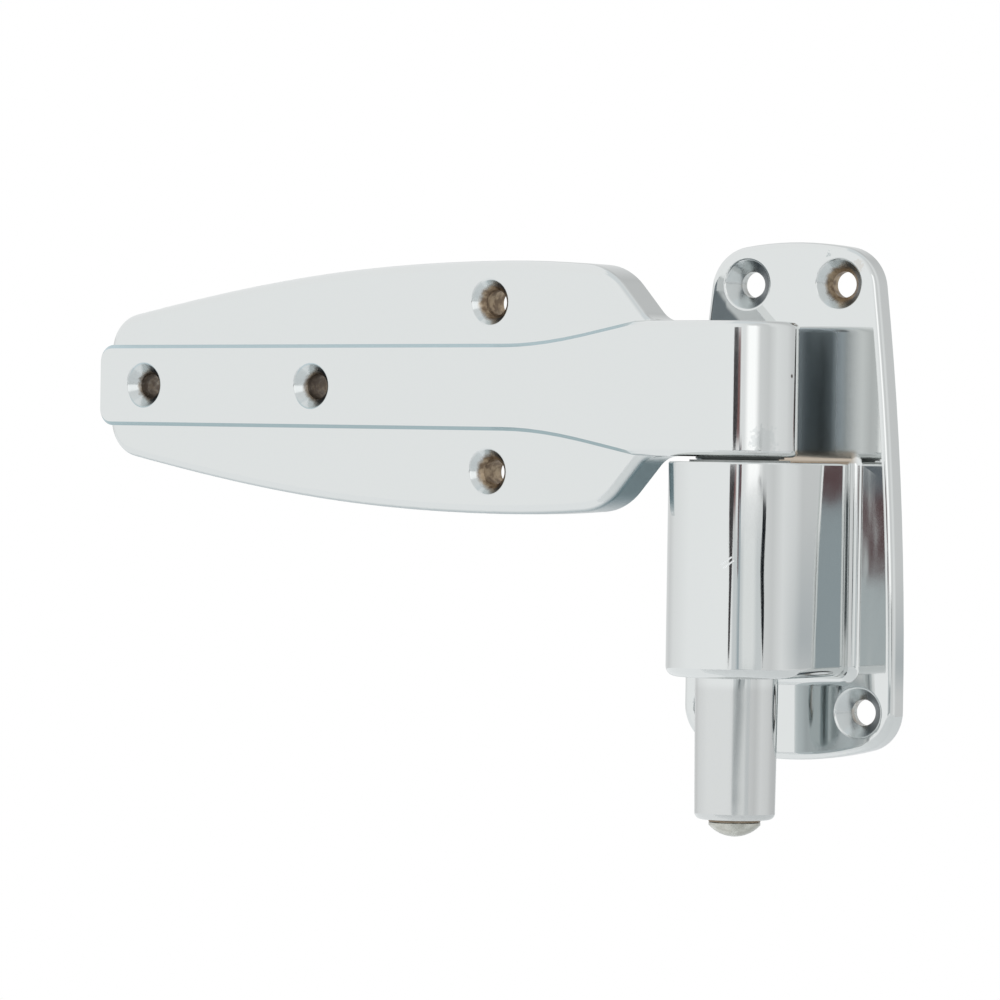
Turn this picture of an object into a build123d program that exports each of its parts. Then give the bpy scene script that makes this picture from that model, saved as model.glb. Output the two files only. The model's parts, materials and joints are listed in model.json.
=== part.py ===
from build123d import *
import math
import os

# Spring-assisted cam-rise hinge: a strap for the door, a jamb flange with barrel and spring tube,
# a helical cam pair in the barrel and a compression spring round the pin.
# Millimetres. Z is up along the pin, Y points into the jamb, the jamb's face is the plane Y = 0
# and Z = 0 is the strap's middle line.

# Strap: lengths run from the pin's axis towards the tip, halves are measured from the middle line
strap_thick = 12.7
rib_proud = 1.2
rib_tip = 221.0
rib_half = 12.2
rib_tip_half = 11.85
rib_corner_r = 5.0
rib_slope_run = 1.05
flare_start = 71.0
flare_slope = 0.17
flare_end = 22.3
flare_over = 0.45
wing_tip = 217.8
wing_tip_half = 19.2
wing_tip_corner_r = 11.0
wing_slope = 0.2
wing_mid = 136.0
wing_mid_half = 32.45
wing_full = 72.0
wing_half = 35.6
wing_edge_r = 2.8
shoulder = 35.8
shoulder_drop = 1.8
shoulder_corner_r = 18.0
neck_start = 21.8
neck_corner_r = 8.0
neck_back_r = 5.0
neck_edge_r = 1.9

# Knuckle
knuckle_r = 15.9
knuckle_half = 18.6

# Jamb flange: plate, barrel block and spring tube
plate_thick = 7.0
plate_top = 41.7
plate_top_half = 24.9
plate_top_drop = 3.3
plate_top_corner_r = 12.5
plate_bottom = -103.0
plate_bottom_half = 32.7
plate_bottom_rise = 5.9
plate_bottom_corner_r = 11.5
plate_edge_r = 2.2
plate_side_bow = 2.45
pin_stand_off = 30.3
barrel_r = 19.6
barrel_height = 59.0
barrel_top_edge_r = 0.6
barrel_bottom_edge_r = 2.8
barrel_fillet_r = 3.2
tube_top_r = 11.5
tube_bottom_r = 11.05
tube_length = 39.1
tube_edge_r = 1.8

# Screw holes
hole_r = 3.65
strap_head_r = 6.55
plate_head_r = 7.1
head_angle = 82.0
head_edge_r = 0.9
pair_spacing = 47.625
pair_from_pin = 76.2
row_near = 139.7
row_far = 203.2
plate_top_spacing = 28.575
plate_bottom_spacing = 44.45
plate_hole_top = 29.9
plate_hole_rise = 119.0625

# Shallow coring in the backs of both castings
core_depth = 3.5
core_rim = 5.0
core_web = 5.0
boss_wall = 4.0

# Cams: the rise for a quarter turn sets the lead of both ramps
rest_angle = 7.4
quarter_rise = 12.7
cam_gap = 0.3
cam_step_deg = 1.5
collar_gap = 0.3
knuckle_gap = 1.4
upper_collar_r = 12.2
lower_collar_r = 13.9
cam_sleeve_r = 13.0
cam_sleeve_wall = 2.0
cam_flat = 12.2
cam_floor = 4.0
cam_neck = 19.0
cam_key_r = 11.2
cam_key_flat = 8.5
cam_key_height = 8.0
cam_run = 0.3
seat_fit = 0.05

# Pin, spring and their small pieces
pin_r = 4.76
pin_top = 12.0
pin_fit = 0.06
press_fit = 0.02
head_r = 7.15
head_rim = 0.7
head_height = 3.9
head_gap = 0.25
spring_bore_r = 7.5
spring_wire_r = 0.9
spring_turns = 7.0
spring_room = 0.3
follower_thick = 2.4
follower_shows = 0.65
seat_flange = 1.5
seat_sleeve_r = 6.0
web_thick = 12.0
roll_pin_r = 2.0
roll_pin_wall = 0.7
roll_pin_slot = 0.8
roll_pin_z = 4.0
roll_pin_turn = 45.0
roll_pin_reach = 9.0
roll_pin_sink = 0.6

# Sizes that follow from the ones above
pin_y = -(pin_stand_off + plate_thick)
strap_back = knuckle_r - strap_thick
wing_face = knuckle_r - rib_proud
knuckle_bottom = -knuckle_half
barrel_top = knuckle_bottom - knuckle_gap
barrel_bottom = barrel_top - barrel_height
tube_bottom = barrel_bottom - tube_length
half_lead = 2 * quarter_rise
collar_thick = (knuckle_gap - collar_gap) / 2
ramp_low = barrel_top - cam_neck - half_lead
sleeve_floor = ramp_low - cam_floor
web_bottom = sleeve_floor - web_thick
sleeve_bore_r = cam_sleeve_r - cam_sleeve_wall
follower_bottom = tube_bottom - follower_shows
follower_top = follower_bottom + follower_thick
head_top = follower_bottom - head_gap
seat_bottom = web_bottom - seat_flange
spring_r = spring_bore_r - spring_room - spring_wire_r

os.makedirs("parts", exist_ok=True)
pin_axis = Pos(0, pin_y, 0)
leaf = pin_axis * Rot(0, 0, -rest_angle)


# Small helpers

def halves(half, about):
    """Closes half an outline with its mirror image."""
    return make_face((half + mirror(half, about)).edges())


def round_corner(face, x, y, radius):
    """Rounds the outline's corners nearest to a point and its mirror images."""
    corners = [face.vertices().sort_by_distance((sx * x, sy * y, 0))[0] for sx in (1, -1) for sy in (1, -1)]
    kept = [c for c in corners if abs(abs(c.X) - abs(x)) < 0.01 and abs(abs(c.Y) - abs(y)) < 0.01]
    return fillet(ShapeList(set(kept)), radius)


def rod(radius, low, high):
    """A plain round bar on the pin's axis."""
    return Pos(0, 0, low) * Cylinder(radius, high - low, align=(Align.CENTER, Align.CENTER, Align.MIN))


def double_d(radius, flat, low, high):
    """A round bar with two flats."""
    bar = Pos(0, 0, low) * Box(2 * flat, 3 * radius, high - low, align=(Align.CENTER, Align.CENTER, Align.MIN))
    return rod(radius, low, high) & bar


def screw_hole(x, y, z, head_r, depth):
    """A countersunk hole's cutter with a softened rim, entering a face at y that looks towards -Y."""
    half = math.radians(head_angle / 2)
    soft = head_edge_r * math.tan((math.pi / 2 - half) / 2)
    top = Polyline((0, 1), (head_r + soft, 1), (head_r + soft, 0))
    rim = TangentArc(top @ 1, (head_r - soft * math.sin(half), -soft * math.cos(half)), tangent=(-1, 0))
    cone = Line(rim @ 1, (hole_r, -(head_r - hole_r) / math.tan(half)))
    bore = Polyline(cone @ 1, (hole_r, -depth - 1), (0, -depth - 1), (0, 1))
    profile = make_face((top + rim + cone + bore).edges())
    return Plane((x, y, z), x_dir=(1, 0, 0), z_dir=(0, -1, 0)) * revolve(Plane.XZ * profile, Axis.Z)


# Strap casting

def wing_edge(inset=0.0):
    """Half the strap's outline from the tip to the shoulder, or a line inside it."""
    tip_x = inset - wing_tip
    tip = Line((tip_x, 0), (tip_x, wing_tip_half - inset))
    taper = Spline(tip @ 1, (-wing_mid, wing_mid_half - inset), (-wing_full, wing_half - inset),
                   tangents=((1, wing_slope), (1, 0)))
    crown = TangentArc(taper @ 1, (-shoulder, wing_half - shoulder_drop - inset), tangent=(1, 0))
    return tip + taper + crown


def wing_outline():
    """The strap's outer outline, seen from the front."""
    slant = Line((-shoulder, wing_half - shoulder_drop), (-neck_start, knuckle_half))
    neck = Line(slant @ 1, (-neck_start / 3, knuckle_half))
    end = Line(neck @ 1, (-neck_start / 3, 0))
    face = halves(wing_edge() + slant + neck + end, Plane.XZ)
    face = round_corner(face, wing_tip, wing_tip_half, wing_tip_corner_r)
    face = round_corner(face, shoulder, wing_half - shoulder_drop, shoulder_corner_r)
    return round_corner(face, neck_start, knuckle_half, neck_corner_r)


def wings():
    """The two wings as one plate with a softened front edge."""
    plate = extrude(Plane.XZ.offset(strap_back) * wing_outline(), strap_thick - rib_proud)
    front = plate.faces().sort_by(Axis.Y)[0]
    rim = front.edges().filter_by(lambda e: e.center().X < -neck_start / 2)
    return fillet(rim, wing_edge_r)


def neck_bar():
    """A bar as wide as the knuckle with rounded front edges, from which the rib and neck are cut."""
    bar = Pos(0, -knuckle_r, 0) * Box(2 * rib_tip, strap_thick, 2 * knuckle_half,
                                      align=(Align.MAX, Align.MIN, Align.CENTER))
    return fillet(bar.edges().filter_by(Axis.X).group_by(Axis.Y)[0], neck_edge_r)


def rib():
    """The raised rib: its sloping sides flare out and run into the neck's rounded edges."""
    wide = knuckle_half + flare_over
    tip = Line((-rib_tip, 0), (-rib_tip, rib_tip_half))
    side = Line(tip @ 1, (-flare_start, rib_half))
    flare = Spline(side @ 1, (-flare_end, wide), tangents=(side % 1, (1, flare_slope)))
    neck = Line(flare @ 1, (0, wide))
    end = Line(neck @ 1, (0, 0))
    face = round_corner(halves(tip + side + flare + neck + end, Plane.XZ), rib_tip, rib_tip_half, rib_corner_r)
    bar = extrude(Plane.XZ.offset(strap_back) * face, strap_thick)
    front = bar.faces().sort_by(Axis.Y)[0]
    rim = front.edges().filter_by(lambda e: e.center().X < -flare_end / 4)
    return chamfer(rim, rib_slope_run, rib_proud - 0.05, reference=front) & neck_bar()


def knuckle():
    """The knuckle, its rims rounded like the neck's edges as far as the fillet behind the neck."""
    fillet_turn = math.degrees(math.asin((neck_back_r - strap_back) / (knuckle_r + neck_back_r)))
    first, last = -135, 180 - fillet_turn - math.degrees(neck_edge_r / knuckle_r)
    corner = Pos(knuckle_r - neck_edge_r, knuckle_half - neck_edge_r)
    square = corner * Rectangle(2 * neck_edge_r, 2 * neck_edge_r, align=(Align.MIN, Align.MIN))
    waste = Rot(0, 0, first) * revolve(Plane.XZ * (square - corner * Circle(neck_edge_r)), Axis.Z, last - first)
    return rod(knuckle_r, -knuckle_half, knuckle_half) - waste - mirror(waste, Plane.XY)


def strap_core():
    """The shallow pockets in the strap's back, round the bosses and a centre web."""
    end = Line((-shoulder, 0), (-shoulder, wing_half - shoulder_drop - core_rim))
    field = halves(wing_edge(core_rim) + end, Plane.XZ)
    boss = hole_r + boss_wall
    for x in (row_near, row_far):
        field -= Pos(-x, 0) * Circle(boss)
    for z in (pair_spacing / 2, -pair_spacing / 2):
        field -= Pos(-pair_from_pin, z) * Circle(boss)
    field -= Rectangle(3 * rib_tip, 2 * core_web)
    for x in ((row_near + row_far) / 2, (row_near + pair_from_pin) / 2):
        field -= Pos(-x, 0) * Rectangle(core_web, 4 * wing_half)
    return extrude(Plane.XZ.offset(strap_back) * field, core_depth)


def strap_blank():
    """Wings, rib and knuckle as one casting, filled in where the neck's back meets the knuckle."""
    body = wings() + rib() + knuckle()
    corner = (-math.sqrt(knuckle_r ** 2 - strap_back ** 2), -strap_back, 0)
    return fillet(body.edges().filter_by(Axis.Z).sort_by_distance(corner)[0], neck_back_r)


def strap():
    body = strap_blank() - strap_core()
    for x in (row_near, row_far):
        body -= screw_hole(-x, -knuckle_r, 0, strap_head_r, strap_thick)
    for z in (pair_spacing / 2, -pair_spacing / 2):
        body -= screw_hole(-pair_from_pin, -wing_face, z, strap_head_r, strap_thick)
    body -= rod(pin_r + press_fit, knuckle_bottom - 1, pin_top)
    body -= double_d(cam_key_r + seat_fit, cam_key_flat + seat_fit, knuckle_bottom - 1,
                     knuckle_bottom + cam_key_height)
    return body - cross_hole(press_fit)


def roll_pin_place():
    """Where the roll pin's blind end sits, with its axis towards the knuckle's back corner."""
    return Rot(0, 0, roll_pin_turn) * Pos(0, -roll_pin_reach, roll_pin_z) * Rot(-90, 0, 0)


def cross_hole(room):
    """The roll pin's blind hole, drilled from the knuckle's back corner through the pin."""
    return roll_pin_place() * rod(roll_pin_r + room, 0, 2 * knuckle_r + roll_pin_reach)


# Jamb flange casting

def plate_outline():
    """The plate seen from the front: arched top and bottom, sides bowed towards the foot."""
    crown = TangentArc((0, plate_top), (plate_top_half, plate_top - plate_top_drop), tangent=(1, 0))
    foot = TangentArc((0, plate_bottom), (plate_bottom_half, plate_bottom + plate_bottom_rise), tangent=(1, 0))
    side = SagittaArc(foot @ 1, crown @ 1, -plate_side_bow)
    face = halves(crown + side + foot, Plane.YZ)
    face = round_corner(face, *tuple(crown @ 1)[:2], plate_top_corner_r)
    return round_corner(face, *tuple(foot @ 1)[:2], plate_bottom_corner_r)


def plate():
    body = extrude(Plane.XZ * plate_outline(), plate_thick)
    front = body.faces().sort_by(Axis.Y)[0]
    return fillet(front.edges(), plate_edge_r)


def barrel_block():
    """The barrel with straight sides that run back into the plate."""
    deep = pin_stand_off + plate_thick / 2
    outline = Circle(barrel_r) + Rectangle(2 * barrel_r, deep, align=(Align.CENTER, Align.MIN))
    block = extrude(Pos(0, pin_y, barrel_bottom) * outline, barrel_height)
    for end, radius in ((0, barrel_bottom_edge_r), (-1, barrel_top_edge_r)):
        face = block.faces().sort_by(Axis.Z)[end]
        block = fillet(face.edges().filter_by(lambda e: e.center().Y < -plate_thick), radius)
    return block


def blended(body):
    """Fills the corner where the barrel block meets the plate."""
    def at_root(e):
        c = e.center()
        level = barrel_bottom - 0.01 <= c.Z <= barrel_top + 0.01
        return abs(c.Y + plate_thick) < 0.001 and abs(c.X) <= barrel_r + 0.01 and level
    return fillet(body.edges().filter_by(at_root), barrel_fillet_r)


def spring_tube():
    tube = Cone(tube_bottom_r, tube_top_r, tube_length + 1, align=(Align.CENTER, Align.CENTER, Align.MIN))
    tube = fillet(tube.edges().sort_by(Axis.Z)[0], tube_edge_r)
    return pin_axis * Pos(0, 0, tube_bottom) * tube


def plate_core():
    """The shallow pockets in the plate's back, either side of a web at the frame's origin."""
    field = offset(plate_outline(), -core_rim)
    for x, z in plate_holes():
        field -= Pos(x, z) * Circle(hole_r + boss_wall)
    for z in (0, barrel_top, (barrel_top + barrel_bottom) / 2, barrel_bottom):
        field -= Pos(0, z) * Rectangle(4 * plate_bottom_half, core_web)
    return extrude(Plane.XZ * field, core_depth)


def plate_holes():
    low = plate_hole_top - plate_hole_rise
    tops = [(s * plate_top_spacing / 2, plate_hole_top) for s in (-1, 1)]
    return tops + [(s * plate_bottom_spacing / 2, low) for s in (-1, 1)]


def jamb_flange():
    body = blended(plate() + barrel_block()) + spring_tube() - plate_core()
    for x, z in plate_holes():
        body -= screw_hole(x, -plate_thick, z, plate_head_r, plate_thick)
    body -= pin_axis * double_d(cam_sleeve_r + seat_fit, cam_flat + seat_fit, sleeve_floor, barrel_top + 1)
    body -= pin_axis * rod(seat_sleeve_r + seat_fit, web_bottom - 1, sleeve_floor + 1)
    return body - pin_axis * rod(spring_bore_r, tube_bottom - 1, web_bottom)


# Cam pair

def ramps(r_in, r_out, low, high):
    """Two half-turn helical ramps: a band of the given height range swept round the pin."""
    middle_r, middle_z = (r_in + r_out) / 2, (low + high) / 2
    path = Pos(0, 0, middle_z) * Helix(2 * half_lead, half_lead, middle_r)
    band = Pos(middle_r, middle_z) * Rectangle(r_out - r_in, high - low)
    ramp = sweep(Plane.XZ * band, path, is_frenet=True)
    return [Pos(0, 0, ramp_low) * Rot(0, 0, turn) * ramp for turn in (0, 180)]


def lower_cam():
    """A flanged cup keyed in the barrel, with the ramps that carry the strap in its floor."""
    cup = double_d(cam_sleeve_r, cam_flat, sleeve_floor, barrel_top)
    cup += rod(lower_collar_r, barrel_top, barrel_top + collar_thick)
    for space in ramps(pin_r / 2, sleeve_bore_r, 0, cam_neck + half_lead + 2 * collar_thick):
        cup -= space
    return pin_axis * (cup - rod(pin_r + cam_run, sleeve_floor - 1, barrel_top + 1))


def upper_cam():
    """The rising cam: a key in the knuckle, a collar, and ramps that match the lower ones."""
    cam = rod(sleeve_bore_r - cam_run, ramp_low, knuckle_bottom - collar_thick)
    step = math.radians(cam_step_deg) * half_lead / math.pi
    for space in ramps(pin_r / 2, sleeve_bore_r + 1, -half_lead - cam_floor, cam_gap + step):
        cam -= Rot(0, 0, cam_step_deg) * space
    cam += rod(upper_collar_r, knuckle_bottom - collar_thick, knuckle_bottom)
    cam += Rot(0, 0, -rest_angle) * double_d(cam_key_r, cam_key_flat, knuckle_bottom,
                                             knuckle_bottom + cam_key_height - seat_fit)
    return pin_axis * (cam - rod(pin_r + press_fit, ramp_low - 1, knuckle_bottom + cam_key_height + 1))


# Pin, spring and small pieces

def hinge_pin():
    """The headed pin: the domed head under the tube, the shank up to the knuckle's blind bore."""
    rim_low = head_top - head_rim
    dome = head_height - head_rim
    ball_r = (head_r ** 2 + dome ** 2) / (2 * dome)
    cap = (Pos(0, 0, rim_low - dome + ball_r) * Sphere(ball_r)) & rod(head_r, rim_low - dome - 1, rim_low)
    pin = rod(pin_r, head_top, pin_top - 0.5) + rod(head_r, rim_low, head_top) + cap
    pin = chamfer(pin.edges().sort_by(Axis.Z)[-1], pin_r / 6)
    return pin - cross_hole(press_fit)


def roll_pin():
    """A slotted spring pin, sunk a little below the knuckle's back."""
    long = knuckle_r + roll_pin_reach - roll_pin_sink
    tube = rod(roll_pin_r, 0.3, long) - rod(roll_pin_r - roll_pin_wall, -1, long + 1)
    tube -= Pos(0, 2 * roll_pin_r, 0) * Box(roll_pin_slot, 4 * roll_pin_r, 3 * long)
    return roll_pin_place() * tube


def spring():
    """The compression spring with ends ground flat."""
    length = seat_bottom - follower_top
    pitch = length / spring_turns
    path = Pos(0, 0, follower_top) * Helix(pitch, length, spring_r)
    wire = Plane(path @ 0, z_dir=path % 0) * Circle(spring_wire_r)
    coil = sweep(wire, path, is_frenet=True)
    return pin_axis * (coil & rod(spring_bore_r, follower_top, seat_bottom))


def spring_seat():
    """The top-hat bushing in the barrel's web."""
    hat = rod(seat_sleeve_r, web_bottom, sleeve_floor)
    hat += rod(spring_bore_r - spring_room, seat_bottom, web_bottom)
    return pin_axis * (hat - rod(pin_r + pin_fit, seat_bottom - 1, sleeve_floor + 1))


def spring_follower():
    """The thick washer that the pin's head lifts against the spring."""
    washer = rod(head_r, follower_bottom, follower_top)
    return pin_axis * (washer - rod(pin_r + pin_fit, follower_bottom - 1, follower_top + 1))


pieces = {
    "strap": leaf * strap(),
    "jamb_flange": jamb_flange(),
    "hinge_pin": leaf * hinge_pin(),
    "roll_pin": leaf * roll_pin(),
    "upper_cam": upper_cam(),
    "lower_cam": lower_cam(),
    "spring": spring(),
    "spring_seat": spring_seat(),
    "spring_follower": spring_follower(),
}
for name, piece in pieces.items():
    export_step(piece, f"parts/{name}.step")
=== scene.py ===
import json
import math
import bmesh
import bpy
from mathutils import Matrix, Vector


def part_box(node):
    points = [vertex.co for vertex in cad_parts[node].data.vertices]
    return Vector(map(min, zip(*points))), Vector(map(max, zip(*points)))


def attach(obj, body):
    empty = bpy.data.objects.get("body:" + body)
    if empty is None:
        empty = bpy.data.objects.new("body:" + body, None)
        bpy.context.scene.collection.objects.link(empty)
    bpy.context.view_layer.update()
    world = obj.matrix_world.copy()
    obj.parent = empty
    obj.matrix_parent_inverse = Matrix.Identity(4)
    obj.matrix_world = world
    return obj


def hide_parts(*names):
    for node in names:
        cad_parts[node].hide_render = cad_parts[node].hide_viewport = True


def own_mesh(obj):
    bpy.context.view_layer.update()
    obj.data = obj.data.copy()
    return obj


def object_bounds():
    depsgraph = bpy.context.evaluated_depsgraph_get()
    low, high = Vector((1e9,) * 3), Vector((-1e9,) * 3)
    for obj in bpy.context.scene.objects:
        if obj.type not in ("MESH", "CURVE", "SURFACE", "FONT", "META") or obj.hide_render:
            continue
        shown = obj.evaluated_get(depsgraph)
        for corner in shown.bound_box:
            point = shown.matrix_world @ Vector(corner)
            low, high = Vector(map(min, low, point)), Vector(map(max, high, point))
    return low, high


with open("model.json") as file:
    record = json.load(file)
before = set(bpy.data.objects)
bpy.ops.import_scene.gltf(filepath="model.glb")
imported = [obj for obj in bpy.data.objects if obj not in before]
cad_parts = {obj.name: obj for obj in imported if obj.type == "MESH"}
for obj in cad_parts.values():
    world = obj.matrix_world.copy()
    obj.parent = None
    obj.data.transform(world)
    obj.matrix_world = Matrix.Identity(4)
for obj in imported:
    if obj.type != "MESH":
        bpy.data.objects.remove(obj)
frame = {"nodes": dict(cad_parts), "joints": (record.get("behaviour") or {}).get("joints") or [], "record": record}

# %% [markdown]
# # A chrome-plated spring hinge for a cold-room door
# The hinge has two die castings: a long strap for the door and a flange for the jamb. Between
# them sit two plastic cams that lift the strap as it opens, and a spring in the tube below
# pulls it down again. The exact solids come from the frame. This lesson gives them their
# finishes, winds the spring, and builds the bright studio that the plating mirrors.

cad_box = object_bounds()
nodes = frame["nodes"]
joints = {j["name"]: j for j in frame["joints"]}
mounts = {m["name"]: m for m in frame["record"]["mounts"]}
MM = 0.001
print("pieces from the frame:", ", ".join(sorted(nodes)))

# %% [markdown]
# ## Small helpers
# Every finish is a tree of shader nodes. A few helpers keep the trees short: one adds a node and
# fills its sockets, where a value may be a number or another node's output, and others wrap the
# nodes that are used most. Sockets go by name, or by place as i0, i1 where names repeat.

# %% Node helpers
FLOAT, VECTOR = "NodeSocketFloat", "NodeSocketVector"


def add(tree, kind, out=0, settings=None, **sockets):
    """Adds a node, fills its sockets by name or place, and gives back one of its outputs."""
    node = tree.nodes.new(kind)
    for key, value in (settings or {}).items():
        setattr(node, key, value)
    for key, value in sockets.items():
        socket = node.inputs[int(key[1:])] if key[1:].isdigit() else node.inputs[key.replace("_", " ")]
        if isinstance(value, bpy.types.NodeSocket):
            tree.links.new(value, socket)
        else:
            socket.default_value = value
    return node.outputs[out]


def maths(tree, operation, a, b=0.0, c=0.0):
    """A Math node on one to three values."""
    return add(tree, "ShaderNodeMath", settings={"operation": operation}, i0=a, i1=b, i2=c)


def vectors(tree, operation, first, second):
    """A Vector Math node. A dot product or a distance comes out as a value, the rest as a vector."""
    out = "Value" if operation in ("DOT_PRODUCT", "DISTANCE") else "Vector"
    return add(tree, "ShaderNodeVectorMath", out, {"operation": operation}, i0=first, i1=second)


def parts(tree, vector):
    """The x, y and z of a vector."""
    return list(add(tree, "ShaderNodeSeparateXYZ", Vector=vector).node.outputs)


def ramp(tree, value, low, high, start=0.0, end=1.0):
    """Maps a value smoothly from one range to another."""
    return add(tree, "ShaderNodeMapRange", settings={"interpolation_type": "SMOOTHSTEP"},
               Value=value, From_Min=low, From_Max=high, To_Min=start, To_Max=end)


def ramp_mm(tree, value, low, high, start=0.0, end=1.0):
    """A ramp over a length, with its limits in millimetres."""
    return ramp(tree, value, low * MM, high * MM, start, end)


def both(tree, first, *others):
    """Masks and shares multiplied, so that a place must lie in all of them."""
    for other in others:
        first = maths(tree, "MULTIPLY", first, other)
    return first


print("number helpers ready")

# %% Colour and group helpers
def mix_colour(tree, share, first, second):
    """Blends two colours by a mask."""
    return add(tree, "ShaderNodeMix", 2, {"data_type": "RGBA"}, i0=share, i6=first, i7=second)


def colour_stops(tree, value, stops):
    """A colour ramp from places between 0 and 1 and their colours."""
    node = tree.nodes.new("ShaderNodeValToRGB")
    tree.links.new(value, node.inputs[0])
    bar = node.color_ramp.elements
    while len(bar) < len(stops):
        bar.new(0.5)
    for element, (place, colour) in zip(bar, stops):
        element.position = place
        element.color = (*colour, 1)
    return node.outputs[0]


def finish(name):
    """Starts a material and gives back its tree and its Principled BSDF."""
    material = bpy.data.materials.new(name)
    material.use_nodes = True
    return material, material.node_tree, material.node_tree.nodes["Principled BSDF"]


def group(name, inputs, outputs):
    """Starts a shader node group with named float or vector sockets."""
    tree = bpy.data.node_groups.new(name, "ShaderNodeTree")
    for label, kind in inputs:
        tree.interface.new_socket(label, in_out="INPUT", socket_type=kind)
    for label, kind in outputs:
        tree.interface.new_socket(label, in_out="OUTPUT", socket_type=kind)
    return tree, tree.nodes.new("NodeGroupInput").outputs, tree.nodes.new("NodeGroupOutput").inputs


def use(tree, grouped, **sockets):
    """Adds a shader node group to a tree and gives back its outputs."""
    return add(tree, "ShaderNodeGroup", settings={"node_tree": grouped}, **sockets).node.outputs


print("colour and group helpers ready")

# %% [markdown]
# ## The skin of a plated casting
# Chrome over die-cast zinc is a mirror, yet never a flat one: hand buffing leaves slow ripples
# that bend straight reflections, the plate has a faint haze, and a few specks sit under it.
# Heights are written in metres, so the Bump node's distance stays at 1 and the ripple is as
# deep as it says. The group gives a height and a haze mask, and each casting sets its own depth.

# %% Plating skin group
UPRIGHT_STRETCH = (1, 1, 0.45)
SPECK_HEIGHT = 4e-6

skin, given, result = group("plating_skin",
                            [("Vector", VECTOR), ("Ripple depth", FLOAT), ("Ripple length", FLOAT)],
                            [("Height", FLOAT), ("Haze", FLOAT)])
waves = maths(skin, "DIVIDE", 1.0, given["Ripple length"])
drawn_out = vectors(skin, "MULTIPLY", given["Vector"], UPRIGHT_STRETCH)
slow = add(skin, "ShaderNodeTexNoise", Vector=drawn_out, Scale=waves, Detail=1.5, Roughness=0.45)
swell = maths(skin, "MULTIPLY", slow, given["Ripple depth"])
speck_cells = add(skin, "ShaderNodeTexVoronoi", Vector=given["Vector"], Scale=70.0, Randomness=1.0)
specks = ramp(skin, speck_cells, 0.05, 0.02)
skin.links.new(maths(skin, "MULTIPLY_ADD", specks, SPECK_HEIGHT, swell), result["Height"])
cloud = add(skin, "ShaderNodeTexNoise", Vector=given["Vector"], Scale=38.0, Detail=5.0, Roughness=0.6)
skin.links.new(ramp(skin, cloud, 0.42, 0.75), result["Haze"])
print("group", skin.name)

# %% [markdown]
# ## Where the plate stops
# No buffing wheel reaches into a countersink, so its cone stays satin. Current hardly reaches
# down the hole either, so the plate thins out and the bore shows brown bare metal, more in one hole
# than in the next. Both masks come from the distance to each hole's axis, the second with a
# ragged edge. Every hole has a spread: how far past the bore it is bare.

# %% Screw hole group
HOLES = ("A", "B", "C", "D")
FRAY = 1.6 * MM

size_sockets = [("Vector", VECTOR), ("Bore radius", FLOAT), ("Head radius", FLOAT)]
hole_sockets = [("Hole " + h, VECTOR) for h in HOLES] + [("Spread " + h, FLOAT) for h in HOLES]
bores, given, result = group("screw_holes", size_sockets + hole_sockets,
                             [("Bare", FLOAT), ("Satin", FLOAT)])
flat = vectors(bores, "MULTIPLY", given["Vector"], (1, 0, 1))
ragged = add(bores, "ShaderNodeTexNoise", Vector=given["Vector"], Scale=600.0, Detail=4.0, Roughness=0.65)
bare = satin = 0.0
for h in HOLES:
    gap = vectors(bores, "DISTANCE", flat, given["Hole " + h])
    past = maths(bores, "SUBTRACT", gap, given["Bore radius"])
    frayed = maths(bores, "MULTIPLY_ADD", ragged, FRAY, past)
    reach = maths(bores, "SUBTRACT", frayed, given["Spread " + h])
    bare = maths(bores, "MAXIMUM", bare, ramp_mm(bores, reach, 1.3, 0.1))
    cone = maths(bores, "SUBTRACT", gap, given["Head radius"])
    satin = maths(bores, "MAXIMUM", satin, ramp_mm(bores, cone, 0.1, -0.6))
bores.links.new(bare, result["Bare"])
bores.links.new(satin, result["Satin"])
print("group", bores.name)

# %% [markdown]
# ## Marks of use
# A pit, a smudge or a worn spot is a small round place on the casting. One group gives a soft
# round mask about a point, with an edge that a noise breaks up. Two parallel scratches are made
# the same way, from distances along and across their direction.

# %% Spot and scratch groups
spots, given, result = group("worn_spot",
                             [("Vector", VECTOR), ("Place", VECTOR), ("Radius", FLOAT), ("Ragged", FLOAT)],
                             [("Mask", FLOAT)])
far = vectors(spots, "DISTANCE", given["Vector"], given["Place"])
broken = add(spots, "ShaderNodeTexNoise", Vector=given["Vector"], Scale=900.0, Detail=3.0)
wobble = maths(spots, "MULTIPLY", maths(spots, "SUBTRACT", broken, 0.5), given["Ragged"])
near = maths(spots, "DIVIDE", maths(spots, "ADD", far, wobble), given["Radius"])
spots.links.new(ramp(spots, near, 1.0, 0.55), result["Mask"])

marks, given, result = group("twin_scratch",
                             [("Vector", VECTOR), ("Place", VECTOR), ("Slant", FLOAT), ("Length", FLOAT),
                              ("Apart", FLOAT), ("Width", FLOAT)],
                             [("Mask", FLOAT)])
slant = add(marks, "ShaderNodeCombineXYZ", Y=given["Slant"])
local = add(marks, "ShaderNodeMapping", settings={"vector_type": "TEXTURE"}, Vector=given["Vector"],
            Location=given["Place"], Rotation=slant)
along, depth, across = [maths(marks, "ABSOLUTE", part) for part in parts(marks, local)]
to_line = maths(marks, "SUBTRACT", across, maths(marks, "MULTIPLY", given["Apart"], 0.5))
line = maths(marks, "ABSOLUTE", to_line)
thin = ramp(marks, maths(marks, "DIVIDE", line, given["Width"]), 1.0, 0.4)
short = ramp(marks, maths(marks, "DIVIDE", along, given["Length"]), 0.5, 0.38)
shallow = ramp_mm(marks, depth, 6, 4)
marks.links.new(both(marks, thin, short, shallow), result["Mask"])
print("groups", spots.name, marks.name)

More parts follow.
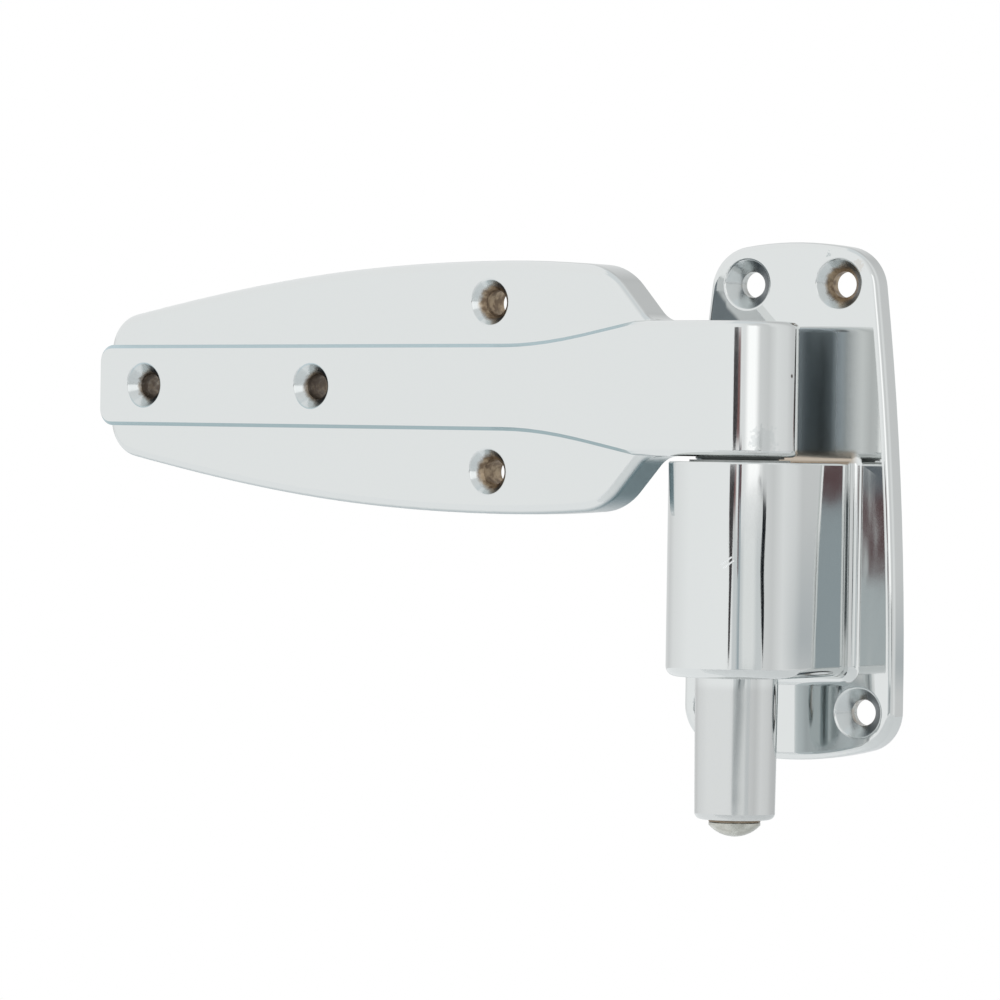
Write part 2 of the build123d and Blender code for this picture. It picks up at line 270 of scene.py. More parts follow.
# %% [markdown]
# ## Bright chrome
# The plate's colour is a cool grey, because chromium returns about three quarters of the light
# and slightly more green and blue than red. Haze lifts the roughness a little, and bare bores
# turn brown and dull. Only the faces that show are buffed: those turned flat to the jamb or the
# door keep the grey of the raw casting, so a mask on the surface's own direction makes them dull.
# Each casting has its own material, since its holes and marks differ. The strap lies at an angle
# in the frame, so a Mapping node turns the pattern back to its axes. Ripples may be deeper on what
# stands in front of a casting's flat ground than on the ground itself.

# %% Places of the strap and its screw holes
pin_axis = Vector(joints["swing"]["pos_m"])
door_normal = Vector(mounts["door_face"]["axis"])
strap_turn = -math.atan2(door_normal.x, door_normal.y)
to_strap = Matrix.Rotation(-strap_turn, 3, "Z")
pair, row = mounts["door_pair_holes"], mounts["door_row_holes"]
pair_x = (to_strap @ (Vector(pair["pos_m"]) - pin_axis)).x
row_x = (to_strap @ (Vector(row["pos_m"]) - pin_axis)).x
pair_half = pair["dims"]["pcd_mm"] / 2 * MM
row_half = row["dims"]["pcd_mm"] / 2 * MM
hole_r = row["dims"]["hole_r_mm"] * MM
strap_holes = [((pair_x, 0, pair_half), 1.3), ((pair_x, 0, -pair_half), 1.3),
               ((row_x - row_half, 0, 0), 0.5), ((row_x + row_half, 0, 0), 0.6)]
print("strap turned by", round(math.degrees(strap_turn), 2), "degrees")

# %% Chrome finish
CHROME = (0.757, 0.772, 0.766, 1)
SATIN_CONE = (0.66, 0.69, 0.69, 1)
CONE_PAINTED_SHADE = (0.13, 0.15, 0.165, 1)
AS_CAST = (0.265, 0.30, 0.32, 1)
BARE_METAL = (0.46, 0.36, 0.25, 1)
BARE_DARK = (0.22, 0.16, 0.11, 1)
CLEAR_ROUGH, HAZE_ROUGH = 0.035, 0.03


def overlay(coat, mask, colour, rough):
    """Lays a colour and a roughness over a chrome finish where a mask says."""
    tree = coat["tree"]
    coat["colour"] = mix_colour(tree, mask, coat["colour"], colour)
    coat["rough"] = add(tree, "ShaderNodeMix", settings={"data_type": "FLOAT"}, i0=mask, i2=coat["rough"],
                        i3=rough)


def chrome_finish(name, turn, centre, holes, head_r, ripple, lean, span):
    """Chrome for one casting, with holes as (place, spread); gives its parts for further marks.

    A ripple has a depth, a length, the level of the flat ground and a gain in front of it. The
    dull back is centred on a direction that leans by some degrees, and begins over a span.
    """
    material, tree, bsdf = finish(name)
    place = add(tree, "ShaderNodeTexCoord", "Object")
    normal = add(tree, "ShaderNodeTexCoord", "Normal")
    own = add(tree, "ShaderNodeMapping", settings={"vector_type": "TEXTURE"}, Vector=place, Location=centre,
              Rotation=(0, 0, turn))
    back = turn + math.radians(lean)
    facing = vectors(tree, "DOT_PRODUCT", normal, (-math.sin(back), math.cos(back), 0))
    across = vectors(tree, "DOT_PRODUCT", normal, (math.cos(turn), math.sin(turn), 0))
    depth, length, ground, gain = ripple
    deeper = ramp(tree, parts(tree, own)[1], ground - 2 * MM, ground - 6 * MM, 1.0, gain)
    surface = use(tree, skin, Vector=own, Ripple_depth=both(tree, deeper, depth), Ripple_length=length)
    values = {}
    for h, (at, spread) in zip(HOLES, holes):
        values["Hole_" + h] = at
        values["Spread_" + h] = spread * MM
    bare, satin = use(tree, bores, Vector=own, Bore_radius=hole_r, Head_radius=head_r, **values)
    coat = {"material": material, "tree": tree, "bsdf": bsdf, "place": place, "own": own, "normal": normal,
            "facing": facing, "bare": bare, "smooth": maths(tree, "SUBTRACT", 1.0, satin), "colour": CHROME,
            "rough": maths(tree, "MULTIPLY_ADD", surface["Haze"], HAZE_ROUGH, CLEAR_ROUGH)}
    overlay(coat, satin, SATIN_CONE, 0.17)
    # Painted shade: the side of each countersink whose face turns towards -x is coloured darker.
    overlay(coat, both(tree, satin, ramp(tree, across, 0.1, -0.4)), CONE_PAINTED_SHADE, 0.3)
    overlay(coat, ramp(tree, facing, *span), AS_CAST, 0.4)
    grit = add(tree, "ShaderNodeTexNoise", Vector=own, Scale=420.0, Detail=4.0, Roughness=0.6)
    overlay(coat, bare, mix_colour(tree, ramp(tree, grit, 0.4, 0.62), BARE_DARK, BARE_METAL), 0.4)
    bsdf.inputs["Metallic"].default_value = 1.0
    bump = add(tree, "ShaderNodeBump", Strength=1.0, Distance=1.0, Height=surface["Height"])
    tree.links.new(bump, bsdf.inputs["Normal"])
    return coat


def spot(coat, at, radius, ragged):
    """A soft round mask on a casting about a place given in millimetres."""
    return use(coat["tree"], spots, Vector=coat["place"], Place=Vector(at) * MM, Radius=radius * MM,
               Ragged=ragged * MM)["Mask"]


def seal(coat):
    """Joins the finished colour and roughness to the material."""
    coat["tree"].links.new(coat["colour"], coat["bsdf"].inputs["Base Color"])
    coat["tree"].links.new(coat["rough"], coat["bsdf"].inputs["Roughness"])
    return coat["material"]


STRAP_HEAD_R = 6.55 * MM
strap_coat = chrome_finish("strap_chrome", strap_turn, pin_axis, strap_holes, STRAP_HEAD_R,
                           ripple=(8e-6, 0.018, 0.0, 1.0), lean=22, span=(0.42, 0.86))
print("chrome for the strap with", len(strap_holes), "holes")

# %% [markdown]
# Along the foot of the rib the wheel rides on the two edges and misses the slope between them,
# so the slope stays a satin blue-grey line, and on the lower edge it is painted darker, as painted
# shade. It is found by its height above the wings, and by a direction that leans up or down. The
# strap's under walls are hard to reach with a wheel too, so they keep a soft satin, and painted
# shade colours them a dark blue-grey. Painted shade also makes the bores through the rib darker
# than the others. The knuckle has one small pit on its right side and a smudged patch low in front.
# Two painted marks behind are there for the flange to mirror: a painted highlight along the back of
# each shoulder, and a painted sheen, a paler blue-grey band, down the knuckle's dull back.

# %% Strap marks
CREASE, CREASE_LOW_PAINTED_SHADE = (0.49, 0.595, 0.63, 1), (0.41, 0.51, 0.535, 1)
UNDER_PAINTED_SHADE = (0.22, 0.29, 0.315, 1)
PIT = (0.12, 0.10, 0.09, 1)
DEEP_BORE_SHADE = (0.07, 0.06, 0.055, 1)
SHOULDER_HIGHLIGHT = (0.88, 0.90, 0.90, 1)
KNUCKLE_SHEEN = (0.56, 0.62, 0.67, 1)
wing_level, neck_end, rib_foot_end, rib_holes = -14.7, -18, -27, -100
shoulder_line = -11.2
pit_at, smudge_at = (15.9, -37.9, 3.7), (12.4, -47.2, -14)

tree, facing, smooth = strap_coat["tree"], strap_coat["facing"], strap_coat["smooth"]
own_x, own_y, own_z = parts(tree, strap_coat["own"])
tilt = parts(tree, strap_coat["normal"])[2]
front = vectors(tree, "DOT_PRODUCT", strap_coat["normal"], -door_normal)

# Painted shade: faces of the strap that turn down get a dark blue-grey colour, with a satin roughness.
under_painted_shade = both(tree, smooth, ramp(tree, tilt, -0.15, -0.5), ramp(tree, tilt, -1.0, -0.75, 0.6, 1.0),
             ramp(tree, front, 0.8, 0.3), ramp_mm(tree, own_x, neck_end, neck_end - 6))
overlay(strap_coat, under_painted_shade, UNDER_PAINTED_SHADE, 0.3)
slope = both(tree, smooth, ramp(tree, maths(tree, "ABSOLUTE", tilt), 0.25, 0.5),
             ramp_mm(tree, own_y, wing_level + 0.1, wing_level),
             ramp_mm(tree, own_x, rib_foot_end + 4, rib_foot_end - 4))
# The lower crease gets a darker copy of the crease colour, as painted shade.
overlay(strap_coat, slope, mix_colour(tree, ramp_mm(tree, own_z, -1, 1), CREASE_LOW_PAINTED_SHADE, CREASE), 0.22)
overlay(strap_coat, spot(strap_coat, pit_at, 0.7, 0.3), PIT, 0.6)
# Painted shade: the bores through the rib are coloured darker than the others.
deep_bore_shade = both(tree, strap_coat["bare"], ramp_mm(tree, own_x, rib_holes, rib_holes - 10, 0.0, 0.65))
overlay(strap_coat, deep_bore_shade, DEEP_BORE_SHADE, 0.4)
# Painted highlight: a bright band along the back of each shoulder, for the flange to mirror.
shoulder = maths(tree, "ADD", own_x, maths(tree, "ABSOLUTE", own_z))
shoulder_highlight = both(tree, ramp_mm(tree, own_x, neck_end + 1, neck_end - 2), ramp(tree, front, -0.5, -0.8),
            ramp_mm(tree, shoulder, shoulder_line - 1, shoulder_line + 1))
overlay(strap_coat, shoulder_highlight, SHOULDER_HIGHLIGHT, 0.35)
overlay(strap_coat, both(tree, spot(strap_coat, smudge_at, 4.5, 12.0), 0.5), SATIN_CONE, 0.2)
# Painted sheen: a paler blue-grey band on the knuckle's dull back, chosen by the way the surface faces, for the
# flange to mirror.
knuckle_sheen = both(tree, ramp(tree, facing, 0.66, 0.74), ramp(tree, facing, 0.85, 0.77), 0.7)
overlay(strap_coat, knuckle_sheen, KNUCKLE_SHEEN, 0.2)
strap_chrome = seal(strap_coat)
print("strap finished with its marks")

# %% [markdown]
# The flange has marks of its own: two scratches across the barrel's front, a brown stain in the
# hollow above the barrel block, and a worn, speckled place beside the upper right hole. The tube
# below the barrel is a little duller than the rest, and a dark line of painted shade lies in the
# root where the barrel block meets the plate.

# %% Flange finish
FLANGE_HEAD_R, PLATE_FRONT = 7.1 * MM, -7 * MM
top, foot = mounts["jamb_top_holes"], mounts["jamb_bottom_holes"]
top_x, top_z = top["dims"]["spacing_x_mm"] / 2 * MM, top["pos_m"][2]
foot_x, foot_z = foot["dims"]["spacing_x_mm"] / 2 * MM, foot["pos_m"][2]
flange_holes = [((top_x, 0, top_z), 1.5), ((-top_x, 0, top_z), -0.2),
                ((foot_x, 0, foot_z), 0.0), ((-foot_x, 0, foot_z), 0.4)]
flange_coat = chrome_finish("flange_chrome", 0.0, Vector(), flange_holes, FLANGE_HEAD_R,
                            ripple=(2.2e-5, 0.02, PLATE_FRONT, 6.0), lean=0, span=(0.9, 0.98))
print("chrome for the flange with", len(flange_holes), "holes")

# %% Flange marks
STAIN = (0.52, 0.41, 0.30, 1)
SCRATCH = (0.92, 0.93, 0.93, 1)
TUBE_CHROME, TUBE_BACK = (0.69, 0.70, 0.695, 1), (0.54, 0.585, 0.595, 1)
ROOT_SHADE = (0.08, 0.10, 0.105, 1)
scratch_at, worn_at, speckled_at = (6.3, -55.9, -47.3), (20.0, -7, 35.2), (11.2, -7, 38.0)
block_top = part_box("lower_cam")[1].z - 0.55 * MM

tree, place = flange_coat["tree"], flange_coat["place"]
x, y, z = parts(tree, place)
side = maths(tree, "ABSOLUTE", x)
above = maths(tree, "SUBTRACT", z, block_top)

hollow = both(tree, ramp_mm(tree, above, -0.2, 0.4), ramp_mm(tree, above, 4.2, 2.6),
              ramp_mm(tree, side, 21.5, 19), ramp_mm(tree, y, -12, -10),
              ramp_mm(tree, y, -5.6, -6.6, 0.0, 0.75))
overlay(flange_coat, hollow, STAIN, 0.3)
scratches = use(tree, marks, Vector=place, Place=Vector(scratch_at) * MM, Slant=math.radians(-38),
                Length=4.0 * MM, Apart=1.1 * MM, Width=0.28 * MM)["Mask"]
overlay(flange_coat, scratches, SCRATCH, 0.55)
overlay(flange_coat, both(tree, spot(flange_coat, worn_at, 2.0, 5.0), 0.22), STAIN, 0.25)
overlay(flange_coat, spot(flange_coat, speckled_at, 1.1, 3.4), SATIN_CONE, 0.45)
tube = both(tree, ramp_mm(tree, z, -80, -83), ramp_mm(tree, y, -18, -22))
overlay(flange_coat, tube, TUBE_CHROME, 0.1)
overlay(flange_coat, both(tree, tube, ramp(tree, flange_coat["facing"], 0.1, 0.6)), TUBE_BACK, 0.12)
# Painted shade: a dark line in the root where the barrel block meets the plate.
root_shade = both(tree, ramp_mm(tree, y, -11.3, -10.6), ramp_mm(tree, y, -9.3, -9.8),
            ramp_mm(tree, side, 21.4, 20.6), ramp_mm(tree, z, -72, -62), ramp_mm(tree, z, -24, -32))
overlay(flange_coat, root_shade, ROOT_SHADE, 0.2)
flange_chrome = seal(flange_coat)
print("flange finished with its marks")

# %% [markdown]
# ## Mirrors need clean shading
# A mirror shows every fault in its surface directions. The frame's meshes are loose triangles,
# so a copy of each casting is merged first, its creases are marked by angle, and a Weighted
# Normal modifier lets the large flat faces decide the direction at shared corners. The copy then
# stands in for the frame's piece.

# %% Polished copies
MERGE_WITHIN = 2e-6
SHARP_ANGLE = math.radians(28)


def polished(name, body, coat):
    """A merged copy of a frame piece with creased, weighted shading, which stands in for it."""
    source = bpy.data.meshes.new(name + "_merged")
    shape = bmesh.new()
    shape.from_mesh(nodes[name].data)
    bmesh.ops.remove_doubles(shape, verts=shape.verts, dist=MERGE_WITHIN)
    for face in shape.faces:
        face.smooth = True
    for edge in shape.edges:
        edge.smooth = len(edge.link_faces) == 2 and edge.calc_face_angle() < SHARP_ANGLE
    shape.to_mesh(source)
    shape.free()
    carrier = bpy.data.objects.new(name + "_carrier", source)
    bpy.context.collection.objects.link(carrier)
    weigh = carrier.modifiers.new("weigh", "WEIGHTED_NORMAL")
    weigh.mode = "FACE_AREA_WITH_ANGLE"
    weigh.keep_sharp = True
    done = carrier.evaluated_get(bpy.context.evaluated_depsgraph_get())
    piece = bpy.data.objects.new("polished_" + name, bpy.data.meshes.new_from_object(done))
    bpy.context.collection.objects.link(piece)
    bpy.data.objects.remove(carrier)
    piece.data.materials.clear()
    piece.data.materials.append(coat)
    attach(piece, body)
    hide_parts(name)
    print(piece.name, "with", len(piece.data.vertices), "corners")


polished("strap", "leaf", strap_chrome)
polished("jamb_flange", "jamb", flange_chrome)

# %% [markdown]
# ## The small pieces' finishes
# The pin is bright steel with a fine mottle, the roll pin and spring are darker hardened
# wire, the cams are bearing plastic, dark on the strap's side and a paler grey in the barrel,
# the seat is natural plastic and the follower is brown porous bronze. One group of fine grain
# serves them all.

# %% Grain group
grain, given, result = group("fine_grain", [("Vector", VECTOR), ("Size", FLOAT), ("Depth", FLOAT)],
                             [("Height", FLOAT), ("Mottle", FLOAT)])
fine = maths(grain, "DIVIDE", 1.0, given["Size"])
lumps = add(grain, "ShaderNodeTexNoise", Vector=given["Vector"], Scale=fine, Detail=4.0, Roughness=0.6)
grain.links.new(maths(grain, "MULTIPLY", lumps, given["Depth"]), result["Height"])
coarse = maths(grain, "DIVIDE", 0.2, given["Size"])
patches = add(grain, "ShaderNodeTexNoise", Vector=given["Vector"], Scale=coarse, Detail=3.0)
grain.links.new(ramp(grain, patches, 0.35, 0.68), result["Mottle"])
print("group", grain.name)

# %% Small finishes
def grained_finish(name, dark, light, metallic, smooth, dull, size, depth):
    """A finish with mottled colour, mottled gloss and a fine raised grain."""
    material, tree, bsdf = finish(name)
    surface = use(tree, grain, Vector=add(tree, "ShaderNodeTexCoord", "Object"), Size=size, Depth=depth)
    mottle = surface["Mottle"]
    tree.links.new(mix_colour(tree, mottle, (*dark, 1), (*light, 1)), bsdf.inputs["Base Color"])
    tree.links.new(maths(tree, "MULTIPLY_ADD", mottle, dull - smooth, smooth), bsdf.inputs["Roughness"])
    bsdf.inputs["Metallic"].default_value = metallic
    bump = add(tree, "ShaderNodeBump", Strength=1.0, Distance=1.0, Height=surface["Height"])
    tree.links.new(bump, bsdf.inputs["Normal"])
    return material


def plastic(name, dark, light, smooth, dull):
    """A moulded plastic with the grain of its mould."""
    return grained_finish(name, dark, light, 0.0, smooth, dull, size=0.0007, depth=8e-6)


pin_steel = grained_finish("pin_steel", (0.46, 0.455, 0.41), (0.65, 0.65, 0.60), 1.0, 0.16, 0.30,
                           size=0.0008, depth=3e-6)
wire_steel = grained_finish("wire_steel", (0.30, 0.29, 0.28), (0.46, 0.45, 0.43), 1.0, 0.25, 0.4,
                            size=0.0006, depth=4e-6)
dark_plastic = plastic("dark_plastic", (0.085, 0.10, 0.095), (0.12, 0.14, 0.13), 0.38, 0.52)
grey_plastic = plastic("grey_plastic", (0.34, 0.36, 0.35), (0.42, 0.44, 0.43), 0.38, 0.52)
seat_plastic = plastic("seat_plastic", (0.66, 0.65, 0.60), (0.76, 0.75, 0.70), 0.4, 0.55)
bronze = grained_finish("follower_bronze", (0.22, 0.17, 0.12), (0.34, 0.27, 0.20), 1.0, 0.35, 0.55,
                        size=0.0005, depth=1e-5)

coats = {"hinge_pin": pin_steel, "roll_pin": wire_steel, "upper_cam": dark_plastic, "lower_cam": grey_plastic,
         "spring_seat": seat_plastic, "spring_follower": bronze}
for name, coat in coats.items():
    nodes[name].data.materials.clear()
    nodes[name].data.materials.append(coat)
print("coated", len(coats), "pieces")

# %% [markdown]
# ## Winding the spring
# A spring is a circle carried along a helix, so a small Geometry Nodes tree winds it: a Spiral
# curve, a Circle for the wire, and Curve to Mesh. Its sizes are named inputs, taken from the
# box of the spring in the frame, so it fits between the seat and the follower. The wound piece
# replaces the plain solid.

# %% Spring tree
coil = bpy.data.node_groups.new("wound_spring", "GeometryNodeTree")
for label in ("Turns", "Height", "Coil radius", "Wire radius"):
    coil.interface.new_socket(label, in_out="INPUT", socket_type=FLOAT)
coil.interface.new_socket("Place", in_out="INPUT", socket_type=VECTOR)
coil.interface.new_socket("Coat", in_out="INPUT", socket_type="NodeSocketMaterial")
coil.interface.new_socket("Geometry", in_out="OUTPUT", socket_type="NodeSocketGeometry")
sizes = coil.nodes.new("NodeGroupInput").outputs
path = add(coil, "GeometryNodeCurveSpiral", Resolution=36, Rotations=sizes["Turns"], Height=sizes["Height"],
           Start_Radius=sizes["Coil radius"], End_Radius=sizes["Coil radius"])
wire = add(coil, "GeometryNodeCurvePrimitiveCircle", Resolution=14, Radius=sizes["Wire radius"])
wound = add(coil, "GeometryNodeCurveToMesh", Curve=path, Profile_Curve=wire, Fill_Caps=True)
placed = add(coil, "GeometryNodeTransform", Geometry=wound, Translation=sizes["Place"])
rounded = add(coil, "GeometryNodeSetShadeSmooth", Geometry=placed, Shade_Smooth=True)
plain = add(coil, "GeometryNodeRealizeInstances", Geometry=rounded)
coated = add(coil, "GeometryNodeSetMaterial", Geometry=plain, Material=sizes["Coat"])
coil.links.new(coated, coil.nodes.new("NodeGroupOutput").inputs["Geometry"])
print("tree", coil.name)

# %% Spring piece
low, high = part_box("spring")
wire_r = 0.9 * MM
end_room = 1.2 * wire_r
middle = (low + high) / 2
values = {"Turns": 7.0, "Height": high.z - low.z - 2 * end_room, "Coil radius": (high.x - low.x) / 2 - wire_r,
          "Wire radius": wire_r, "Place": (middle.x, middle.y, low.z + end_room), "Coat": wire_steel}
carrier = bpy.data.objects.new("spring_carrier", bpy.data.meshes.new("spring_carrier"))
bpy.context.collection.objects.link(carrier)
winder = carrier.modifiers.new("wind", "NODES")
winder.node_group = coil
for item in coil.interface.items_tree:
    if item.item_type == "SOCKET" and item.in_out == "INPUT":
        winder[item.identifier] = values[item.name]
done = carrier.evaluated_get(bpy.context.evaluated_depsgraph_get())
wound_spring = bpy.data.objects.new("wound_spring", bpy.data.meshes.new_from_object(done))
bpy.context.collection.objects.link(wound_spring)
bpy.data.objects.remove(carrier)
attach(wound_spring, "jamb")
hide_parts("spring")
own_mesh(wound_spring)

# %% [markdown]
# ## The room that the chrome shows
# A mirror has no look of its own, so the studio makes it. The world is a ring of light that is
# white in front, where the flat faces look, and greyer to the right and behind, with a cool
# ceiling. The camera itself sees plain white. Azimuths run from the plate's own direction, -Y,
# towards +X, and an arctangent finds them from the direction of a ray.

# %% World
RING = [(-180, 0.60), (-150, 0.78), (-118, 0.72), (-100, 0.87), (-60, 0.975), (8, 0.985), (38, 0.88),
        (70, 0.76), (84, 0.71), (104, 0.87), (132, 0.81), (150, 0.69), (166, 0.64), (180, 0.60)]
COOL = (0.985, 1.0, 1.005)
CEILING = (0.78, 0.82, 0.84, 1)
WHITE = (1.0, 1.0, 1.0)

world = bpy.data.worlds.new("studio")
world.use_nodes = True
sky = world.node_tree
east, north, lift = parts(sky, add(sky, "ShaderNodeTexCoord", "Generated"))
azimuth = maths(sky, "ARCTAN2", east, maths(sky, "MULTIPLY", north, -1.0))
way_round = maths(sky, "MULTIPLY_ADD", azimuth, 0.5 / math.pi, 0.5)
ring = colour_stops(sky, way_round, [(a / 360 + 0.5, [v * c for c in COOL]) for a, v in RING])
room = mix_colour(sky, ramp(sky, lift, 0.84, 0.97), ring, CEILING)
seen = mix_colour(sky, add(sky, "ShaderNodeLightPath", "Is Camera Ray"), room, (*WHITE, 1))
sky.links.new(seen, sky.nodes["Background"].inputs["Color"])
bpy.context.scene.world = world
print("world", world.name, "with", len(RING), "stops round the horizon")

# %% [markdown]
# Cards that only reflections can see stand in the room. A round bar squeezes half the room into a
# streak, so each streak is one card, given by corners of azimuth in degrees and height in metres.
# A card may fade at its edges: its own UV map tells how far in a point lies, and the glow gives
# way to a transparent shader there.

# %% Card helper
def card(name, corners, colour, distance=1.8, strength=1.0, soft=(0, 0, 0, 0)):
    """A glowing card that fades in from its left, right, low and high edges by shares of its size."""
    turns, heights = [c[0] for c in corners], [c[1] for c in corners]
    width, height = max(turns) - min(turns), max(max(heights) - min(heights), MM)
    points, places = [], []
    for degrees, level, *reach in corners:
        far = reach[0] if reach else distance
        angle = math.radians(degrees)
        points.append((pin_axis.x + far * math.sin(angle), pin_axis.y - far * math.cos(angle), level))
        places.append(((degrees - min(turns)) / width, (level - min(heights)) / height))
    mesh = bpy.data.meshes.new(name)
    mesh.from_pydata(points, [], [range(len(points))])
    for corner, place in zip(mesh.uv_layers.new(name="card").data, places):
        corner.uv = place
    material = bpy.data.materials.new(name)
    material.use_nodes = True
    tree = material.node_tree
    tree.nodes.clear()
    look = add(tree, "ShaderNodeEmission", Color=(*colour, 1), Strength=strength)
    across, up = parts(tree, add(tree, "ShaderNodeTexCoord", "UV"))[:2]
    ways = (across, maths(tree, "SUBTRACT", 1.0, across), up, maths(tree, "SUBTRACT", 1.0, up))
    for way, edge in zip(ways, soft):
        if edge:
            look = add(tree, "ShaderNodeMixShader", i0=ramp(tree, way, 0.0, edge),
                       i1=add(tree, "ShaderNodeBsdfTransparent"), i2=look)
    tree.links.new(look, tree.nodes.new("ShaderNodeOutputMaterial").inputs["Surface"])
    mesh.materials.append(material)
    piece = bpy.data.objects.new(name, mesh)
    bpy.context.collection.objects.link(piece)
    piece.visible_camera = False
    piece.visible_shadow = False


def oblong(left, right, low, high):
    """The corners of a plain upright card."""
    return [(left, low), (right, low), (right, high), (left, high)]


def ribbon(line, start, end):
    """The corners of a card between two copies of a line, each moved round by some degrees."""
    return [(a + start, z) for a, z in line] + [(a + end, z) for a, z in reversed(line)]


def sheet(left, right, near, far, level):
    """The corners of a card that lies flat, bent once in the middle of its arc."""
    middle = (left + right) / 2
    return [(left, level, near), (middle, level, near), (right, level, near),
            (right, level, far), (middle, level, far), (left, level, far)]


print("cards may be oblongs, ribbons or sheets")

# %% [markdown]
# The streaks on the knuckle and the barrel, from left to right: a dark card, which is a long lens
# for the knuckle and narrows to its foot for the barrel, then its soft reddish edge, then a broad
# white card, and on the barrel a thin wavy dark line. Behind the lower ones stand greys for the
# barrel and the tube, and far round to the right a grey for the side of the plate. The tube has
# a slanting band with a dark line in it, so both of these are ribbons along one bent line.

# %% Upright cards
DARK, RED = (0.06, 0.055, 0.058), (0.20, 0.095, 0.09)
GREY, PALE_GREY, SIDE_GREY = (0.68, 0.71, 0.72), (0.86, 0.88, 0.88), (0.44, 0.48, 0.50)
BAND_GREY, LINE_GREY, BLACK = (0.48, 0.51, 0.52), (0.20, 0.22, 0.23), (0.01, 0.013, 0.016)
lens_left = [(18, 0.068), (13.5, 0.064), (12.6, 0.055), (12.6, -0.006), (14, -0.0145)]
lens_right = [(17.5, -0.0155), (20, -0.008), (21.5, 0.01), (21.5, 0.058)]
low_left = [(11.6, -0.0205), (11.6, -0.06), (12.8, -0.09), (13, -0.14)]
low_right = [(15.4, -0.14), (16.6, -0.1), (18, -0.06), (19, -0.03), (20, -0.0205)]
bend = [(34, -0.15), (29, -0.19), (14, -0.25)]
wave = [(55, -0.034), (61, -0.033), (65.5, -0.042), (65, -0.06), (63, -0.08), (64.5, -0.1), (69, -0.14)]
wave_back = [(a + 6, z) for a, z in reversed(wave[2:-1])] + [(61, -0.037)]

card("dark_card", lens_left + lens_right, DARK, 1.78)
card("red_card", oblong(16, 27.5, -0.0105, 0.06), RED, soft=(0.1, 0.26, 0.04, 0.06))
card("low_dark_card", low_left + low_right, DARK, 1.78)
card("low_red_card", oblong(15, 23.5, -0.06, -0.0205), RED, soft=(0.1, 0.4, 0.5, 0))
card("white_card", oblong(33, 67, -0.05, 1.0), WHITE, 1.85, 1.26, soft=(0.32, 0.4, 0.02, 0))
card("grey_card", oblong(17, 68, -0.37, -0.042), GREY, 2.2, soft=(0.08, 0.08, 0.1, 0.12))
card("pale_card", oblong(31, 59, -0.34, -0.04), PALE_GREY, 1.9, soft=(0.25, 0.3, 0.1, 0.1))
card("side_card", oblong(92, 172, -0.155, -0.02), SIDE_GREY, 1.9, soft=(0.95, 0.04, 0.3, 0.95))
card("tube_band", ribbon(bend, 0, 24), BAND_GREY)
card("tube_line", ribbon(bend, 5, 10), LINE_GREY, 1.75)
card("thin_card", wave + wave_back, BLACK, 1.7)
print("upright cards set")

# %% [markdown]
# The barrel block's flat side and the plate meet at a right angle and make a corner mirror, which
# sends every look straight back. Narrow cards beside the camera's own direction fill it: the near
# ones show on the plate, blue-grey, dark red and pale grey from the top down, and the far ones on
# the block's side, dark red and then grey.

# %% Corner cards
BROWN = (0.13, 0.072, 0.076)
BLUE_GREY, NEAR_GREY, FAR_GREY = (0.15, 0.175, 0.20), (0.56, 0.61, 0.63), (0.40, 0.46, 0.49)
left, parting, right = 25.3, 27.25, 30.2
low_end, high_end = -0.17, -0.012

card("corner_blue_near", oblong(left, parting, -0.042, high_end), BLUE_GREY, 1.74, soft=(0, 0, 0.4, 0))
card("corner_red_near", oblong(25.5, parting, -0.092, high_end), BROWN, 1.75, soft=(0, 0, 0.1, 0))
card("corner_grey_near", oblong(left, parting, low_end, -0.086), NEAR_GREY, 1.76)
card("corner_red_far", oblong(parting, right, -0.046, high_end), BROWN, 1.75, soft=(0, 0, 0.2, 0))
card("corner_grey_far", oblong(parting, right, low_end, -0.04), FAR_GREY, 1.76)
print("corner cards set")

# %% [markdown]
# Two white sheets lie flat to the left, one below and one above, and keep the rounded edges of the
# strap as bright as its face.

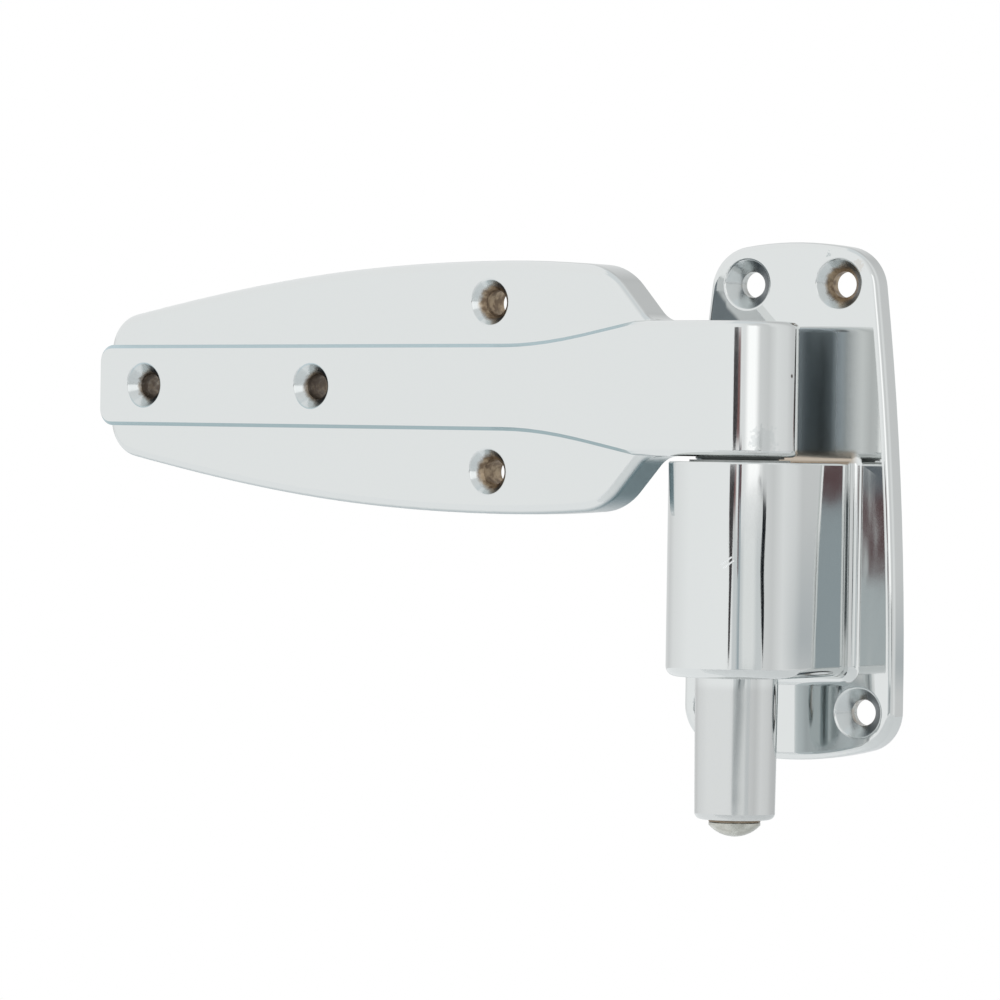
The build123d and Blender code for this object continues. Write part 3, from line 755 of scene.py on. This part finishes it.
# %% Flat sheets
card("low_sheet", sheet(-140, -34, 0.12, 4.5, -0.6), (0.93, 0.95, 0.96))
card("high_sheet", sheet(-140, -34, 0.12, 4.5, 0.6), (0.96, 0.97, 0.975))
print("flat sheets set")

# %% [markdown]
# A pale floor lies well below the hinge, which hangs free. It keeps the hinge's faint shadow and
# gives the under edges something plain to mirror.

# %% Floor
FLOOR_DARK, FLOOR_LIGHT = (0.86, 0.875, 0.88, 1), (0.89, 0.90, 0.905, 1)
drop, floor_r = 0.75, 5.5

bpy.ops.mesh.primitive_circle_add(vertices=96, radius=floor_r, fill_type="NGON",
                                  location=(0, 0, cad_box[0].z - drop))
floor = bpy.context.object
floor.name = "floor"
paint, tree, bsdf = finish("floor_paint")
place = add(tree, "ShaderNodeTexCoord", "Object")
speckle = add(tree, "ShaderNodeTexNoise", Vector=place, Scale=3.0, Detail=4.0)
tree.links.new(mix_colour(tree, speckle, FLOOR_DARK, FLOOR_LIGHT), bsdf.inputs["Base Color"])
bsdf.inputs["Roughness"].default_value = 0.7
floor.data.materials.append(paint)
print("floor", drop, "m below")

# %% [markdown]
# ## The camera
# The view is taken from about a metre and a half with a long lens, some thirty degrees to the
# right of straight ahead and level with the barrel's top. Yaw, dip and roll are given as three
# plain turns, so each can be read on its own. The lens is given by its length in sensor widths.

# %% Camera
yaw, dip, roll = 29.885, 0.458, 0.857
stand = (0.7028, -1.3922, -0.0192)
sensor, length_in_widths = 36.0, 5.551

lens = bpy.data.cameras.new("camera")
lens.sensor_width = sensor
lens.lens = sensor * length_in_widths
camera = bpy.data.objects.new("camera", lens)
turns = (Matrix.Rotation(math.radians(yaw), 4, "Z") @ Matrix.Rotation(math.radians(90 - dip), 4, "X")
         @ Matrix.Rotation(math.radians(roll), 4, "Z"))
camera.matrix_world = Matrix.Translation(stand) @ turns
bpy.context.collection.objects.link(camera)
scene = bpy.context.scene
scene.camera = camera
scene.view_settings.view_transform = "Standard"
print("camera with a", round(lens.lens, 1), "mm lens")
